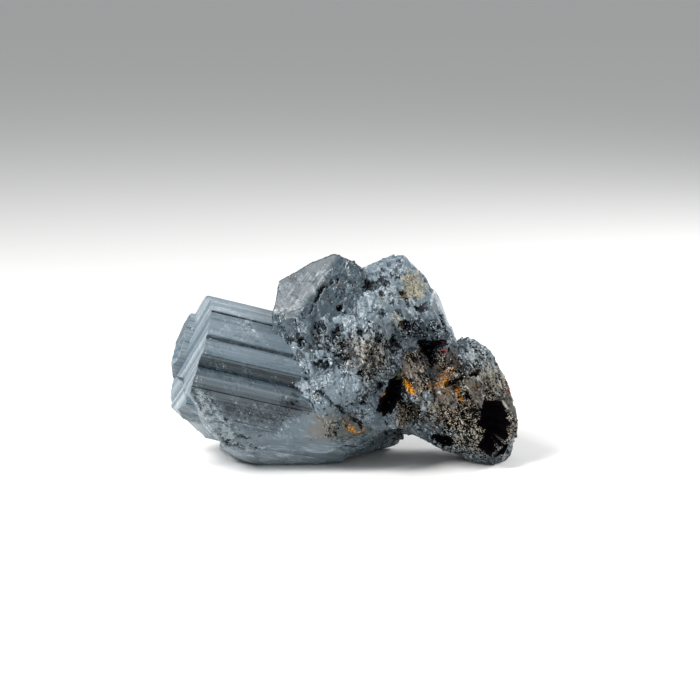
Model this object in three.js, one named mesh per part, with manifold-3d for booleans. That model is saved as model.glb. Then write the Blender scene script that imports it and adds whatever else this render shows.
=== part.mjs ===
// A black tourmaline (schorl) specimen: striated crystals grown together, broken and etched on one side.
// Millimetres, +Z up. The origin is on the surface it rests on, below the middle of its bounding box.
// Bearings are in degrees: 0 faces the front (-Y), 90 the right (+X), 180 the back. A rise of 90 faces up.

import * as THREE from "three";
import { mergeVertices } from "three/addons/utils/BufferGeometryUtils.js";
import Module from "manifold-3d";

const wasm = await Module();
wasm.setup();

const DEG = Math.PI / 180;
const UP = new THREE.Vector3(0, 0, 1);

// ---------- the specimen's driving dimensions ----------

const MAIN = { bearing: -75, rise: 16 }; // the way the long crystal's free end points
const STEEP = { bearing: -80, rise: 66 }; // the way the upright crystals point
const ROUGH_ENOUGH = 0.2; // faces smoother than this carry no chips
const PROUD = 1.1; // how far chips may stand out, in roughnesses
const SUNK = 1.7; // how deep holes may go, in roughnesses

const REACH = 90; // longer than the specimen in any direction
const GOLDEN_TURN = Math.PI * (3 - Math.sqrt(5));

// ---------- helpers ----------

function heading(bearing, rise) {
  const level = Math.cos(rise * DEG);
  return new THREE.Vector3(
    Math.sin(bearing * DEG) * level,
    -Math.cos(bearing * DEG) * level,
    Math.sin(rise * DEG),
  );
}

function onCircle(angle, radius) {
  return new THREE.Vector2(Math.cos(angle * DEG), Math.sin(angle * DEG)).multiplyScalar(radius);
}

// Fixed chance: the same two whole numbers always give the same number from 0 to 1.
function chance(index, salt) {
  let h = Math.imul(index + 1, 374761393) ^ Math.imul(salt, 668265263);
  h = Math.imul(h ^ (h >>> 15), 2246822519);
  h = Math.imul(h ^ (h >>> 13), 3266489917);
  return ((h ^ (h >>> 16)) >>> 0) / 4294967296;
}

function solidOf(geometry) {
  geometry.deleteAttribute("normal");
  geometry.deleteAttribute("uv");
  const merged = mergeVertices(geometry, 1e-4);
  return new wasm.Manifold(
    new wasm.Mesh({
      numProp: 3,
      vertProperties: new Float32Array(merged.attributes.position.array),
      triVerts: new Uint32Array(merged.index.array),
    }),
  );
}

// Everything on the far side of a plane.
function beyond(normal, point) {
  const box = new THREE.BoxGeometry(2 * REACH, 2 * REACH, REACH);
  box.translate(0, 0, REACH / 2);
  box.applyQuaternion(new THREE.Quaternion().setFromUnitVectors(UP, normal));
  box.translate(point.x, point.y, point.z);
  return solidOf(box);
}

// A block bounded by flat faces, [bearing, rise, distance from the centre, roughness], each moved out by
// `grow` times its roughness.
function block(centre, faces, grow = 0) {
  const box = new THREE.BoxGeometry(REACH, REACH, REACH);
  box.translate(...centre);
  return faces.reduce((solid, [bearing, rise, distance, rough]) => {
    const normal = heading(bearing, rise);
    const point = new THREE.Vector3(...centre).addScaledVector(normal, distance + grow * rough);
    return solid.subtract(beyond(normal, point));
  }, solidOf(box));
}

// A short many-sided column, the form of both a chip and the hole one leaves.
function column(at, axis, spin, radius, length, sides) {
  const shape = new THREE.CylinderGeometry(radius, radius, length, sides);
  shape.rotateY(spin);
  shape.applyQuaternion(new THREE.Quaternion().setFromUnitVectors(new THREE.Vector3(0, 1, 0), axis));
  shape.translate(at.x, at.y, at.z);
  return solidOf(shape);
}

// A broken lump: a block with chips standing out of its rough faces and holes let into them. Chips and holes
// are columns that lie along the crystal's axis, on a spiral of directions that covers the lump evenly. Each
// grain is one such layer, [how many, radius]: a coarse one for ledges and a fine one for crumbs and pits.
function lump({ centre, faces, axis, grains, salt }) {
  const middle = new THREE.Vector3(...centre);
  const grainAxis = heading(axis.bearing, axis.rise);
  const sides = faces.map(([bearing, rise, distance, rough]) => {
    return { normal: heading(bearing, rise), distance, rough };
  });
  const chips = [];
  const holes = [];
  grains.forEach(([count, size], layer) => {
    for (let k = 0; k < count; k++) {
      const height = 1 - (2 * k + 1) / count;
      const level = Math.sqrt(1 - height * height);
      const turn = k * GOLDEN_TURN;
      const direction = new THREE.Vector3(Math.cos(turn) * level, Math.sin(turn) * level, height);
      const side = sides.reduce((best, s) =>
        s.normal.dot(direction) / s.distance > best.normal.dot(direction) / best.distance ? s : best,
      );
      if (side.rough < ROUGH_ENOUGH) continue;
      const luck = (n) => chance(k, salt + 10 * layer + n);
      const radius = size * (0.6 + 0.8 * luck(0));
      const length = 2 * radius * (0.8 + 1.2 * luck(1));
      const lean = new THREE.Vector3(luck(2) - 0.5, luck(3) - 0.5, luck(4) - 0.5).multiplyScalar(0.5);
      const along = grainAxis.clone().add(lean).normalize();
      const face = side.normal;
      const steep = Math.abs(face.dot(along));
      const support = (steep * length) / 2 + Math.sqrt(1 - steep * steep) * radius;
      const surface = direction.clone().multiplyScalar(side.distance / face.dot(direction)).add(middle);
      const isChip = luck(5) < 0.55;
      const step = isChip
        ? side.rough * (0.2 + 0.8 * luck(6)) - support
        : support - side.rough * (0.3 + 0.9 * luck(6));
      const piece = column(surface.addScaledVector(face, step), along, luck(7) * 6, radius, length, 5);
      (isChip ? chips : holes).push(piece);
    }
  });
  const whole = block(centre, faces);
  if (!chips.length) return whole;
  const proud = wasm.Manifold.union(chips).intersect(block(centre, faces, PROUD));
  const sunk = wasm.Manifold.union(holes).subtract(block(centre, faces, -SUNK));
  return whole.add(proud).subtract(sunk);
}

// A crystal: corners of its cross-section as [angle, radius], 0 up and 90 to the front, with flat-topped ribs
// along every side. Its free end is cut by planes, [bearing, rise, distance from the tip point].
function crystal({ tip, axis, length, corners, width, relief, salt, ends }) {
  const along = heading(axis.bearing, axis.rise);
  const up = UP.clone().addScaledVector(along, -along.z).normalize();
  const outline = [];
  corners.forEach(([angle, radius], n) => {
    const [nextAngle, nextRadius] = corners[(n + 1) % corners.length];
    const a = onCircle(angle, radius);
    const b = onCircle(nextAngle, nextRadius);
    const run = a.distanceTo(b);
    const outward = new THREE.Vector2(b.y - a.y, a.x - b.x).divideScalar(run);
    const count = Math.max(1, Math.round(run / width));
    for (let k = 0; k < count; k++) {
      const level = run < width ? 0 : relief * (chance(100 * n + k, salt) - 0.5);
      const left = (k + 0.5 * chance(100 * n + k, salt + 1) * (k > 0)) / count;
      outline.push(a.clone().lerp(b, left + 0.04 / count).addScaledVector(outward, level));
      outline.push(a.clone().lerp(b, (k + 0.96) / count).addScaledVector(outward, level));
    }
  });
  const geometry = new THREE.ExtrudeGeometry(new THREE.Shape(outline), {
    depth: 2 * length,
    bevelEnabled: false,
  });
  geometry.translate(0, 0, -length);
  const front = new THREE.Vector3().crossVectors(up, along);
  geometry.applyMatrix4(new THREE.Matrix4().makeBasis(up, front, along.clone().negate()));
  geometry.translate(...tip);
  return ends.reduce((solid, [bearing, rise, distance]) => {
    const normal = heading(bearing, rise);
    return solid.subtract(beyond(normal, new THREE.Vector3(...tip).addScaledVector(normal, distance)));
  }, solidOf(geometry));
}

// ---------- the parts of the specimen ----------

const mainCrystal = crystal({
  axis: MAIN,
  tip: [-29.5, -4, 20.4],
  length: 32,
  corners: [
    [-26, 14.8], [11, 14.5], [30, 14.7], [56, 14.9], [58.5, 13.8], [61, 14.9], [72, 15.1],
    [88, 14.6], [97, 14.4], [118, 15.1], [142, 14.8], [180, 14.0], [217, 15.4], [262, 15.6],
    [298, 14.6],
  ],
  width: 2.1,
  relief: 1.1,
  salt: 5,
  ends: [
    [-80, 21, 2.2],
    [-76, 9, 3.3],
    [-121, 47, 10.6],
    [-107, 24, 8.3],
    [-94, 0, 6.2],
    [-85, 1, 5.2],
    [-72, -42, 9.1],
    [-41, -56, 13.0],
    [-64, -32, 6.8],
    [2, -48, 16.2],
  ],
});

const sideCrystal = crystal({
  axis: MAIN,
  tip: [-30.5, -9, 13.8],
  length: 16,
  corners: [[20, 4.2], [80, 5.2], [140, 5], [200, 4.4], [260, 5.0], [320, 5.4]],
  width: 1.6,
  relief: 0.6,
  salt: 9,
  ends: [[-68, 11, 2.6], [-95, -1, 4.2], [-60, -38, 2.7], [-30, -49, 2.4]],
});

const foot = lump({
  centre: [-8, -2, 9],
  faces: [
    [0, -90, 9, 0.05],
    [2, -48, 8.5, 0.05],
    [-41, -56, 12.3, 0.3],
    [-64, -32, 17.5, 0.6],
    [-2, 3, 11.2, 0.5],
    [-90, 10, 16, 0.5],
    [24, -50, 9.2, 0.5],
    [47, -68, 10.1, 0.3],
    [60, -30, 14, 0.8],
    [90, 10, 18, 0.8],
    [180, -25, 13, 1],
    [0, 60, 10, 1],
    [180, 30, 13, 1],
    [-130, -20, 13, 1],
  ],
  axis: MAIN,
  grains: [[26, 4], [90, 1.9]],
  salt: 40,
});

const shoulder = lump({
  centre: [-6, 5, 30],
  faces: [
    [-24, 40, 13.0, 0.1],
    [3, 28, 14.2, 0.8],
    [-20, 8, 15.4, 0.8],
    [-103, 0, 4.9, 0.5],
    [-148, 55, 5.4, 0.25],
    [-135, 49, 4.9, 0.25],
    [126, 39, 8.0, 0.3],
    [138, 51, 7.9, 0.3],
    [170, 20, 9, 0.8],
    [90, 5, 11, 0.8],
    [0, -70, 12, 0.8],
    [-150, 10, 8, 0.6],
  ],
  axis: STEEP,
  grains: [[22, 3.4], [80, 1.8]],
  salt: 80,
});

const summit = lump({
  centre: [9, 0, 33],
  faces: [
    [-7, 41, 7.3, 0.8],
    [-5, 12, 10.5, 0.9],
    [30, 25, 7.6, 0.6],
    [-141, 52, 6.3, 0.3],
    [-154, 57, 6.5, 0.3],
    [170, 60, 7.4, 0.3],
    [137, 51, 8.0, 0.3],
    [108, 20, 7.5, 0.3],
    [125, 41, 6.7, 0.3],
    [-60, 10, 9, 0.9],
    [-100, 0, 9, 0.9],
    [0, -40, 10, 0.9],
    [180, 20, 10, 0.7],
    [0, -90, 12, 0.7],
  ],
  axis: STEEP,
  grains: [[24, 3.6], [80, 1.8]],
  salt: 120,
});

const upright = lump({
  centre: [11, 2, 21],
  faces: [
    [106, 15, 9.8, 0.15],
    [108, 20, 10.4, 0.15],
    [59, 24, 13.5, 0.15],
    [125, 41, 11.9, 0.3],
    [0, 60, 15, 0.7],
    [180, 60, 15, 0.7],
    [0, 5, 9.5, 0.9],
    [170, 5, 11, 0.5],
    [-150, 10, 13, 0.6],
    [-90, 0, 14, 0.9],
    [0, -60, 13.2, 0.6],
    [180, -40, 14, 0.6],
  ],
  axis: STEEP,
  grains: [[24, 3.6], [80, 1.8]],
  salt: 160,
});

const front = lump({
  centre: [-1, -4, 21],
  faces: [
    [-12, 18, 9.3, 0.9],
    [-80, 5, 12.8, 0.8],
    [-50, 12, 13.2, 0.8],
    [-45, -30, 12.6, 0.9],
    [-90, 45, 13.0, 0.6],
    [35, 5, 11.5, 1],
    [15, -30, 12.2, 1],
    [90, 0, 14, 1],
    [0, 70, 12, 1],
    [180, 0, 12, 1],
    [0, -80, 13, 1],
  ],
  axis: STEEP,
  grains: [[28, 4], [110, 1.7]],
  salt: 200,
});

const plate = lump({
  centre: [4, -5, 16.5],
  faces: [
    [-5, 12, 9.3, 0.4],
    [35, 8, 9.0, 0.6],
    [-70, 20, 11.0, 0.6],
    [-100, -50, 2.75, 0.3],
    [20, -75, 8.6, 0.4],
    [90, 0, 7, 0.7],
    [180, 0, 10, 0.7],
    [0, 55, 8, 0.7],
  ],
  axis: MAIN,
  grains: [[14, 3], [60, 1.5]],
  salt: 240,
});

const slab = lump({
  centre: [13, -3, 17],
  faces: [
    [-28, 6, 8, 0.35],
    [88, 15, 4.4, 0.15],
    [105, 10, 6.5, 0.3],
    [20, 40, 9, 0.5],
    [0, -60, 6.5, 0.6],
    [-100, 0, 6, 0.6],
    [0, 80, 8, 0.6],
    [180, 0, 9, 0.6],
  ],
  axis: STEEP,
  grains: [[12, 3], [50, 1.4]],
  salt: 280,
});

const lobe = lump({
  centre: [24, -2, 12.3],
  faces: [
    [-30, 50, 10.9, 0.3],
    [-100, 55, 10.7, 0.5],
    [18, 36, 9.2, 0.6],
    [40, 14, 7.6, 0.7],
    [5, -4, 9.6, 0.9],
    [155, 56, 10.9, 0.3],
    [130, 45, 9.8, 0.3],
    [112, 27, 8.7, 0.3],
    [105, 16, 9.2, 0.3],
    [97, 2, 10.1, 0.4],
    [67, -23, 11.8, 0.5],
    [56, -32, 12.2, 0.5],
    [-20, -48, 9.3, 0.5],
    [-36, -43, 9.4, 0.5],
    [-65, -60, 10.1, 0.4],
    [-43, -71, 10.7, 0.3],
    [-70, -10, 11.5, 0.9],
    [0, -90, 12.3, 0.1],
    [180, 10, 12, 0.7],
    [180, -45, 12, 0.7],
  ],
  axis: STEEP,
  grains: [[32, 3.6], [120, 1.7]],
  salt: 320,
});

// Deep holes, [x, y, z, bearing and rise of the way out, radius, depth], each a wide one with a narrower one
// beside it.
const CAVITIES = [
  [30.2, -9.3, 10.8, 25, 5, 3.2, 4.4],
  [17.4, -6, 25, 10, 10, 3.0, 7],
  [9.6, -10.5, 15.2, 0, 0, 1.7, 4],
  [10.2, -10.6, 27.2, 10, 20, 1.7, 3],
  [19.7, -8, 5.5, -10, -20, 1.6, 3],
  [31.2, -6.6, 3.9, 20, -20, 1.5, 3],
  [-1.1, -12, 29.6, -10, 20, 1.4, 1.8],
  [3.1, -12, 29.2, -10, 20, 1.2, 2],
  [6.8, -9.4, 37.6, -10, 30, 1.7, 1.4],
];

const cavities = CAVITIES.flatMap(([x, y, z, bearing, rise, radius, depth], n) => {
  const out = heading(bearing, rise);
  const beside = heading(bearing + 90, 50 * (chance(n, 2) - 0.5)).multiplyScalar(0.9 * radius);
  return [1, 0.65].map((share, k) => {
    const at = new THREE.Vector3(x, y, z).addScaledVector(beside, k);
    at.addScaledVector(out, 2 - (share * depth) / 2);
    return column(at, out, 6 * chance(n, k), share * radius, share * depth + 4, 5 - k);
  });
});

const whole = [foot, shoulder, summit, upright, front, plate, slab, lobe]
  .reduce((grown, solid) => grown.add(solid), mainCrystal)
  .subtract(wasm.Manifold.union(cavities))
  .add(sideCrystal)
  .subtract(beyond(new THREE.Vector3(0, 0, -1), new THREE.Vector3()));

// One solid: what the union encloses is filled, and the specimen is centred over its origin.
const largest = whole.decompose().sort((a, b) => b.volume() - a.volume())[0];
const { min, max } = largest.boundingBox();
const specimen = largest.translate([-(min[0] + max[0]) / 2, -(min[1] + max[1]) / 2, 0]);

const mesh = specimen.getMesh();
const surface = new THREE.BufferGeometry()
  .setAttribute("position", new THREE.BufferAttribute(new Float32Array(mesh.vertProperties), 3))
  .setIndex(new THREE.BufferAttribute(new Uint32Array(mesh.triVerts), 1));

const schorl = new THREE.MeshStandardMaterial({ color: 0x3a434a, roughness: 0.38, metalness: 0 });
const tourmaline = new THREE.Mesh(surface, schorl);
tourmaline.name = "tourmaline_cluster";

const group = new THREE.Group();
group.add(tourmaline);

export default group;
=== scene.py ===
# %% [markdown]
# # A black tourmaline specimen
# Black tourmaline, or schorl, grows as long striated crystals. In this specimen one such crystal lies across
# a broken and etched mass. Nothing on it is soft or hinged, so all is shape and finish: flat growth faces
# with fine lines, chips that follow the crystals, etched pits, and rust where iron has weathered out.

import math

import bpy
import numpy as np
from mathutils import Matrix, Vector


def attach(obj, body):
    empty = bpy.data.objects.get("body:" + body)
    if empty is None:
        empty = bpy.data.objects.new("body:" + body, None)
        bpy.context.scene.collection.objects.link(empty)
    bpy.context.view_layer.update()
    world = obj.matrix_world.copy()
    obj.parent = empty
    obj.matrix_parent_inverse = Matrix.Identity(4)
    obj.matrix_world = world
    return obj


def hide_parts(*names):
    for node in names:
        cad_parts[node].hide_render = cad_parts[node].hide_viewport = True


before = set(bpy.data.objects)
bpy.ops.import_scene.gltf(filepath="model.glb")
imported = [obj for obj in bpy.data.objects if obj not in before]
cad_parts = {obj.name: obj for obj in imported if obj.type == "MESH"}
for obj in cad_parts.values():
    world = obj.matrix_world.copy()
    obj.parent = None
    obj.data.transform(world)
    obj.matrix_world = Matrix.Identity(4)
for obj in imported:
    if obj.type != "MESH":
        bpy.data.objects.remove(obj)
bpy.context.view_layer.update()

# %% [markdown]
# ## Directions and chance
# Every face of a broken crystal is named by the way it looks: a bearing around the specimen (0 is the front,
# 90 the right) and a rise (90 is up). Chips need chance, but a specimen has to come out the same each time,
# so chance here is arithmetic on whole numbers: the same two numbers always give the same answer.

# %% Directions and chance
MM = 0.001
OVER_ORIGIN = np.array([0.2143, -0.7301, 0.0])  # moves the tables' frame so that the specimen is centred
MAIN = (-75, 16)  # the way the long crystal's free end points
STEEP = (-80, 66)  # the way the upright crystals point
UP = (0.0, 0.0, 1.0)


def heading(bearing, rise):
    """Unit vector of a direction: sin and cos of the bearing, shortened by the cosine of the rise."""
    b, r = math.radians(bearing), math.radians(rise)
    return np.array([math.sin(b) * math.cos(r), -math.cos(b) * math.cos(r), math.sin(r)])


def chance(index, salt):
    """Whole numbers in, a fraction from 0 to 1 out: multiply, fold the high bits down, three times over."""
    with np.errstate(over="ignore"):
        h = (np.atleast_1d(index).astype(np.int64) + 1).astype(np.uint32) * np.uint32(374761393)
        h = h ^ (np.atleast_1d(salt).astype(np.uint32) * np.uint32(668265263))
        h = (h ^ (h >> np.uint32(15))) * np.uint32(2246822519)
        h = (h ^ (h >> np.uint32(13))) * np.uint32(3266489917)
    return (h ^ (h >> np.uint32(16))).astype(np.float64) / 4294967296.0


def chances(index, salt):
    """A chance direction for each whole number: three chances in a row, each from -1 to 1."""
    return np.stack([chance(index, salt + k) for k in range(3)], 1) * 2 - 1


def unit(v):
    """The same direction with length 1."""
    return v / np.linalg.norm(v, axis=-1, keepdims=True)


print("one roll of chance:", chance(7, 3))

# %% [markdown]
# ## Crystal grain
# Broken schorl is a mosaic of tiny flat facets, each tilted its own way. A noise that is smooth, such as
# clouds, looks like clay. Here space is cut into cells round scattered seeds, and each cell holds a small
# tilted plane, so the surface steps at every cell border, as cleaved grain does. Cells longer along the
# crystal's axis make the splinters run its way.

# %% Crystal grain
STRAY = 0.31  # how far a seed may lie from the middle of its cell, in cells
FALL = 1.6  # how steeply a spot ends: it is whole out to 3/8 of its radius


def cells(points, size, salt, axis=UP, stretch=1.0):
    """The nearest seed of a loose lattice: the offset from it in cells, its distance, the next one's, and its
    whole number."""
    axis = unit(np.asarray(axis, float))
    along = points @ axis
    q = (points + np.outer(along * (1 / stretch - 1), axis)) / size
    corner = np.floor(q - 0.5).astype(np.int64)
    nearest, second = np.full((2, len(q)), 9.0)
    offset = np.zeros_like(q)
    name = np.zeros(len(q), np.int64)
    for step in np.ndindex(2, 2, 2):
        cell = corner + step
        key = (cell * np.array([73856093, 19349663, 83492791])).sum(1) & 0xFFFFFF
        seed = cell + 0.5 + STRAY * chances(key, salt)
        away = q - seed
        far = (away**2).sum(1)
        closer = far < nearest
        second = np.where(closer, nearest, np.minimum(second, far))
        nearest = np.where(closer, far, nearest)
        offset[closer] = away[closer]
        name[closer] = key[closer]
    return offset, np.sqrt(nearest), np.sqrt(second), name


def grain(points, size, salt, axis=UP, stretch=1.0, step=0.15, slope=0.3):
    """Height in mm and the cell's own number, -0.5 to 0.5. The height is that number of `step`s, plus `slope`
    times the offset from the cell's seed along a chance direction."""
    offset, _, _, name = cells(points, size, salt, axis, stretch)
    level = chance(name, salt + 17) - 0.5
    return step * level + slope * size * (offset * chances(name, salt + 11)).sum(1), level


def pits(points, size, salt, share, axis=UP, stretch=1.0):
    """Depth from 0 to 1: a share of the cells sinks, each to its own depth. Its wall is where the next seed
    is nearly as near, so its outline is the cell's, flat-sided and angular."""
    _, near, second, name = cells(points, size, salt, axis, stretch)
    wall = np.clip((second - near - 0.03) / 0.06, 0, 1)
    return np.where(chance(name, salt + 29) < share, wall * (0.5 + 0.5 * chance(name, salt + 23)), 0.0)


def ridges(points, across, width, salt):
    """Steps of a staircase laid along one direction: each tread, `width` wide, has its own level, 0 to 1."""
    place = points @ across / width
    tread = np.floor(place).astype(np.int64)
    blend = np.clip((place - tread - 0.75) / 0.25, 0, 1)
    return chance(tread & 0xFFFFF, salt) * (1 - blend) + chance((tread + 1) & 0xFFFFF, salt) * blend


def near_spots(points, spots):
    """Strength of the strongest spot: whole in its inner part, falling to 0 at its radius by a smooth step. A
    row is x, y, z, radius, strength, or has two places before the radius for a streak between them."""
    strength = np.zeros(len(points))
    for row in spots:
        start, run = np.array(row[:3]), np.array(row[-5:-2]) - row[:3]
        t = np.clip((points - start) @ run / max(run @ run, 1e-9), 0, 1)
        far = np.linalg.norm(points - start - t[:, None] * run, axis=1) / row[-2]
        near = np.clip(FALL - FALL * far, 0, 1)
        strength = np.maximum(strength, row[-1] * near * near * (3 - 2 * near))
    return strength


# %% [markdown]
# ## Chips and holes
# A chip that stands out and the hole one leaves have the same form, a short five-sided column along the
# crystal. A lump is described by rays from its middle, so it is enough to know where each ray enters a column
# and where it leaves. A Boolean for each of several hundred would be slow and could fail.

# %% Chips and holes
GROWN = 0.2  # a face less rough than this grew whole and has no chips


def column(at, axis, spin, radius, length, sides):
    """A prism as planes: outward normals and their distances from the origin, sides first, then both ends."""
    turn = spin + (np.arange(sides) + 0.5) * 2 * math.pi / sides
    local = np.stack([np.sin(turn), np.zeros(sides), np.cos(turn)], 1)
    local = np.vstack([local, [[0, 1, 0], [0, -1, 0]]])
    side = unit(np.cross(axis, UP))
    normals = local @ np.stack([side, axis, np.cross(side, axis)])
    half = np.append(np.full(sides, radius * math.cos(math.pi / sides)), [length / 2, length / 2])
    return normals, normals @ at + half, at, math.hypot(radius, length / 2)


def crossing(middle, rays, prism, wobble):
    """Which rays meet a prism, and the distances at which they enter and leave it. Each ray's `wobble` moves
    the prism's faces out a little, which frays its outline."""
    normals, offsets, at, reach = prism
    to = at - middle
    far = np.linalg.norm(to)
    if far > reach:
        near = np.flatnonzero(rays @ (to / far) > math.sqrt(1 - (reach / far) ** 2))
    else:
        near = np.arange(len(rays))
    slope = rays[near] @ normals.T
    gap = (offsets - normals @ middle + wobble[near, None]) / np.where(np.abs(slope) < 1e-9, 1e-9, slope)
    enter = np.where(slope < 0, gap, -1e9).max(1)
    leave = np.where(slope > 0, gap, 1e9).min(1)
    met = (enter < leave) & (leave > 0)
    return near[met], enter[met], leave[met]


def chips_and_holes(middle, normals, distances, roughs, axis, grains, salt):
    """Columns on a golden spiral of directions, raised from or sunk into the face each direction meets."""
    chips, holes = [], []
    for layer, (count, size) in enumerate(grains):
        for k in range(count):
            height = 1 - (2 * k + 1) / count
            level, turn = math.sqrt(1 - height * height), k * math.pi * (3 - math.sqrt(5))
            ray = np.array([math.cos(turn) * level, math.sin(turn) * level, height])
            side = int(np.argmax(normals @ ray / distances))
            rough, face = roughs[side], normals[side]
            if rough < GROWN:
                continue
            luck = [float(chance(k, salt + 10 * layer + n)[0]) for n in range(8)]
            radius = size * (0.6 + 0.8 * luck[0])
            length = 2 * radius * (0.8 + 1.2 * luck[1])
            along = unit(heading(*axis) + (np.array(luck[2:5]) - 0.5) * 0.5)
            steep = abs(float(face @ along))
            support = steep * length / 2 + math.sqrt(1 - steep * steep) * radius
            surface = middle + ray * distances[side] / float(face @ ray)
            raised = luck[5] < 0.6
            proud = rough * (0.05 + 0.35 * luck[6]) - support
            sunk = support - rough * (0.15 + 0.6 * luck[6])
            at = surface + face * (proud if raised else sunk)
            (chips if raised else holes).append(column(at, along, luck[7] * 6, radius, length, 5))
    return chips, holes


# %% [markdown]
# ## The cavities
# A few holes are deep enough to be painted black inside as shade, and shallower pits lie round them.
# Each is three columns side by side, which cut every crystal they meet, so they are listed once here. So
# are the cracks, which are streaks of missing stone.

# %% The cavities
CAVITIES = [  # x, y, z, bearing and rise of the way out, radius, depth
    (30.2, -9.3, 10.8, 25, 5, 3.5, 4.4), (9.3, -11.5, 16.2, 5, -5, 1.7, 4.5),
    (9.9, -10.4, 18.4, 5, -5, 1.1, 4), (19.7, -8, 5.5, -10, -20, 1.6, 3), (31.2, -6.6, 3.9, 20, -20, 1.5, 3),
]
PITS = [  # shallower ones, whose floors still catch some light
    (10.2, -10.6, 27.2, 10, 20, 1.44, 1.8), (-1.1, -12, 29.6, -10, 20, 1.19, 1.08),
    (3.1, -12, 29.2, -10, 20, 1.02, 1.2), (5.8, -6.2, 37, -10, 30, 1.27, 0.6),
    (7.4, -5.8, 38, -10, 30, 1.02, 0.6), (8.1, -6.4, 38.2, -7, 41, 0.85, 0.6),
    (7.1, -8.2, 35.9, -7, 41, 0.68, 0.54), (-1.3, -6.6, 38.3, 3, 28, 0.42, 0.4),
    (-1, -9.2, 33.1, 3, 28, 0.51, 0.48), (3.9, -9.5, 33.9, -7, 41, 0.68, 0.48),
    (-4.8, -11.1, 29.9, 3, 28, 0.94, 0.72), (7.3, -10.3, 32.2, -7, 41, 0.51, 0.48),
    (10.6, -5.3, 38.3, -7, 41, 0.38, 0.42), (11.1, -2.8, 41.2, -7, 41, 0.42, 0.42),
    (11.4, -6.9, 35.5, 30, 25, 0.47, 0.48), (6.6, -12.1, 27.7, 35, 5, 1.02, 0.72),
    (-8.6, -11.8, 26.6, -25, 0, 0.68, 0.6), (-3.1, -12.5, 27.5, -12, 18, 0.59, 0.54),
    (-4, -12.7, 22.3, -1, 0, 1.02, 0.6), (3.1, -14.8, 21.3, -12, 18, 0.77, 0.6),
    (7.1, -12.8, 18.6, 35, 8, 0.68, 0.6), (19.4, -5.2, 30.6, 50, 20, 0.59, 0.54),
    (15.7, -6.5, 32.6, 0, 15, 1.1, 0.54), (28, -6.5, 11.6, 25, 5, 1.1, 0.96),
    (24.5, -10.7, 15.7, 40, 14, 0.51, 0.42), (11.9, -9.8, 29.8, 30, 25, 1.36, 0.48),
]
CRACKS = [  # from, to, half width, depth
    (20, -11.4, 18.2, 23.2, -9.8, 19.1, 0.65, 1.4), (23.2, -9.8, 19.1, 27.4, -7, 20, 0.55, 1.5),
    (-2.4, -6.8, 37.8, -4.4, -7.6, 36.6, 0.3, 0.4), (-4.4, -7.6, 36.6, -5.6, -8.7, 34.6, 0.45, 0.7),
    (-5.6, -8.7, 34.6, -6.9, -10.2, 32.4, 0.3, 0.5), (-5.3, -14.2, 17.7, -2.6, -15.2, 15.6, 0.45, 0.5),
    (-2.6, -15.2, 15.6, 0.3, -13.6, 13, 0.5, 0.7), (0.3, -13.6, 13, 3.1, -13.6, 10.8, 0.5, 0.7),
    (16, -9, 22.6, 16.8, -9, 18.6, 0.4, 0.7), (7.6, -10, 24.6, 13, -9.4, 24.8, 0.6, 1),
    (20.6, -12.6, 6.8, 22, -12.2, 13.2, 0.4, 0.5),
]
OUT = 2  # mm that a column reaches beyond the place in its row, so that it breaks the surface


def bored(table):
    """Every row of a table as three five-sided columns, each beside the last and narrower, whose union has a
    stepped, angular outline."""
    found = []
    for n, (x, y, z, bearing, rise, radius, depth) in enumerate(table):
        out = heading(bearing, rise)
        at = np.array([x, y, z]) + out * OUT
        for k, share in enumerate((1.0, 0.8, 0.6)):
            spin = 0.45 + 0.5 * float(chance(n, k)[0])
            middle = at - out * share * depth / 2
            found.append(column(middle, out, spin, share * radius, share * depth + 2 * OUT, 5))
            at = at + heading(bearing + 90, 360 * float(chance(n, 7 + k)[0])) * 0.8 * share * radius
    return found


recess = column(np.array([17.0, -6.5, 24.3]), heading(10, 10), math.radians(-60), 2.7, 12, 3)
black_holes = [recess] + bored(CAVITIES)
all_holes = black_holes + bored(PITS)
print(len(all_holes), "columns cut the cavities and pits")

# %% [markdown]
# ## Stains and tones
# The crystals are one mineral, but not one colour to the eye. Iron weathers out as rust in cracks, a thin
# brown bloom of earth covers the grainy parts, and the hollows, cracks and deep holes are painted darker, up
# to almost black, as shade; other spots are painted lighter as highlights. They could be painted by hand, but
# a list of spots can be read and changed: a place, a radius and a strength, or two places for a streak. The
# lists become numbers on the mesh's points, and the finish reads them from there.

# %% Stains and tones
RUST = [
    (15, -7, 25, 15.9, -8.2, 21.5, 0.7, 0.85), (15.9, -8.2, 21.5, 16.8, -11, 18.4, 0.8, 0.95),
    (11.3, -10.9, 20.6, 12, -11.3, 18.7, 0.8, 0.8), (12, -11.4, 18.7, 13.6, -12.4, 16.9, 1.3, 1),
    (13.6, -12.4, 16.9, 17, -12.5, 17.8, 1.1, 0.9), (17, -10.8, 18, 20.7, -11, 18.6, 1.3, 0.95),
    (20.7, -11, 18.6, 23.4, -9.8, 19.1, 0.8, 0.8), (18.4, -9.4, 18.6, 20.6, -9, 20, 2.6, 0.72),
    (18.4, -8.8, 20.4, 3.2, 0.55), (17, -12.6, 17.4, 20, -11.6, 18, 1.6, 0.75),
    (21.9, -11.4, 17.1, 22.9, -11.6, 15.6, 1.2, 1), (20.1, -11.8, 16.8, 0.8, 0.9),
    (21.8, -12, 14, 21.8, -12, 10.4, 1, 0.8), (18.7, -12.4, 16.2, 1.6, 0.65),
    (-0.6, -13.4, 12.2, 1.4, -13.5, 10.2, 1, 0.7), (1.2, -13.5, 10, 3.2, -12.8, 8.8, 1.2, 0.9),
    (7.9, -13.6, 16.4, 8.6, -13.2, 14.6, 0.8, 1), (26.4, -8.3, 16.8, 1.4, 0.8), (10.7, -9.9, 30.7, 1.8, 0.65),
    (-9.6, -12.6, 20.8, 1.2, 0.5), (4.8, -10.6, 32.2, 1, 0.6), (24, -10.5, 14, 3, 0.5),
]
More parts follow.
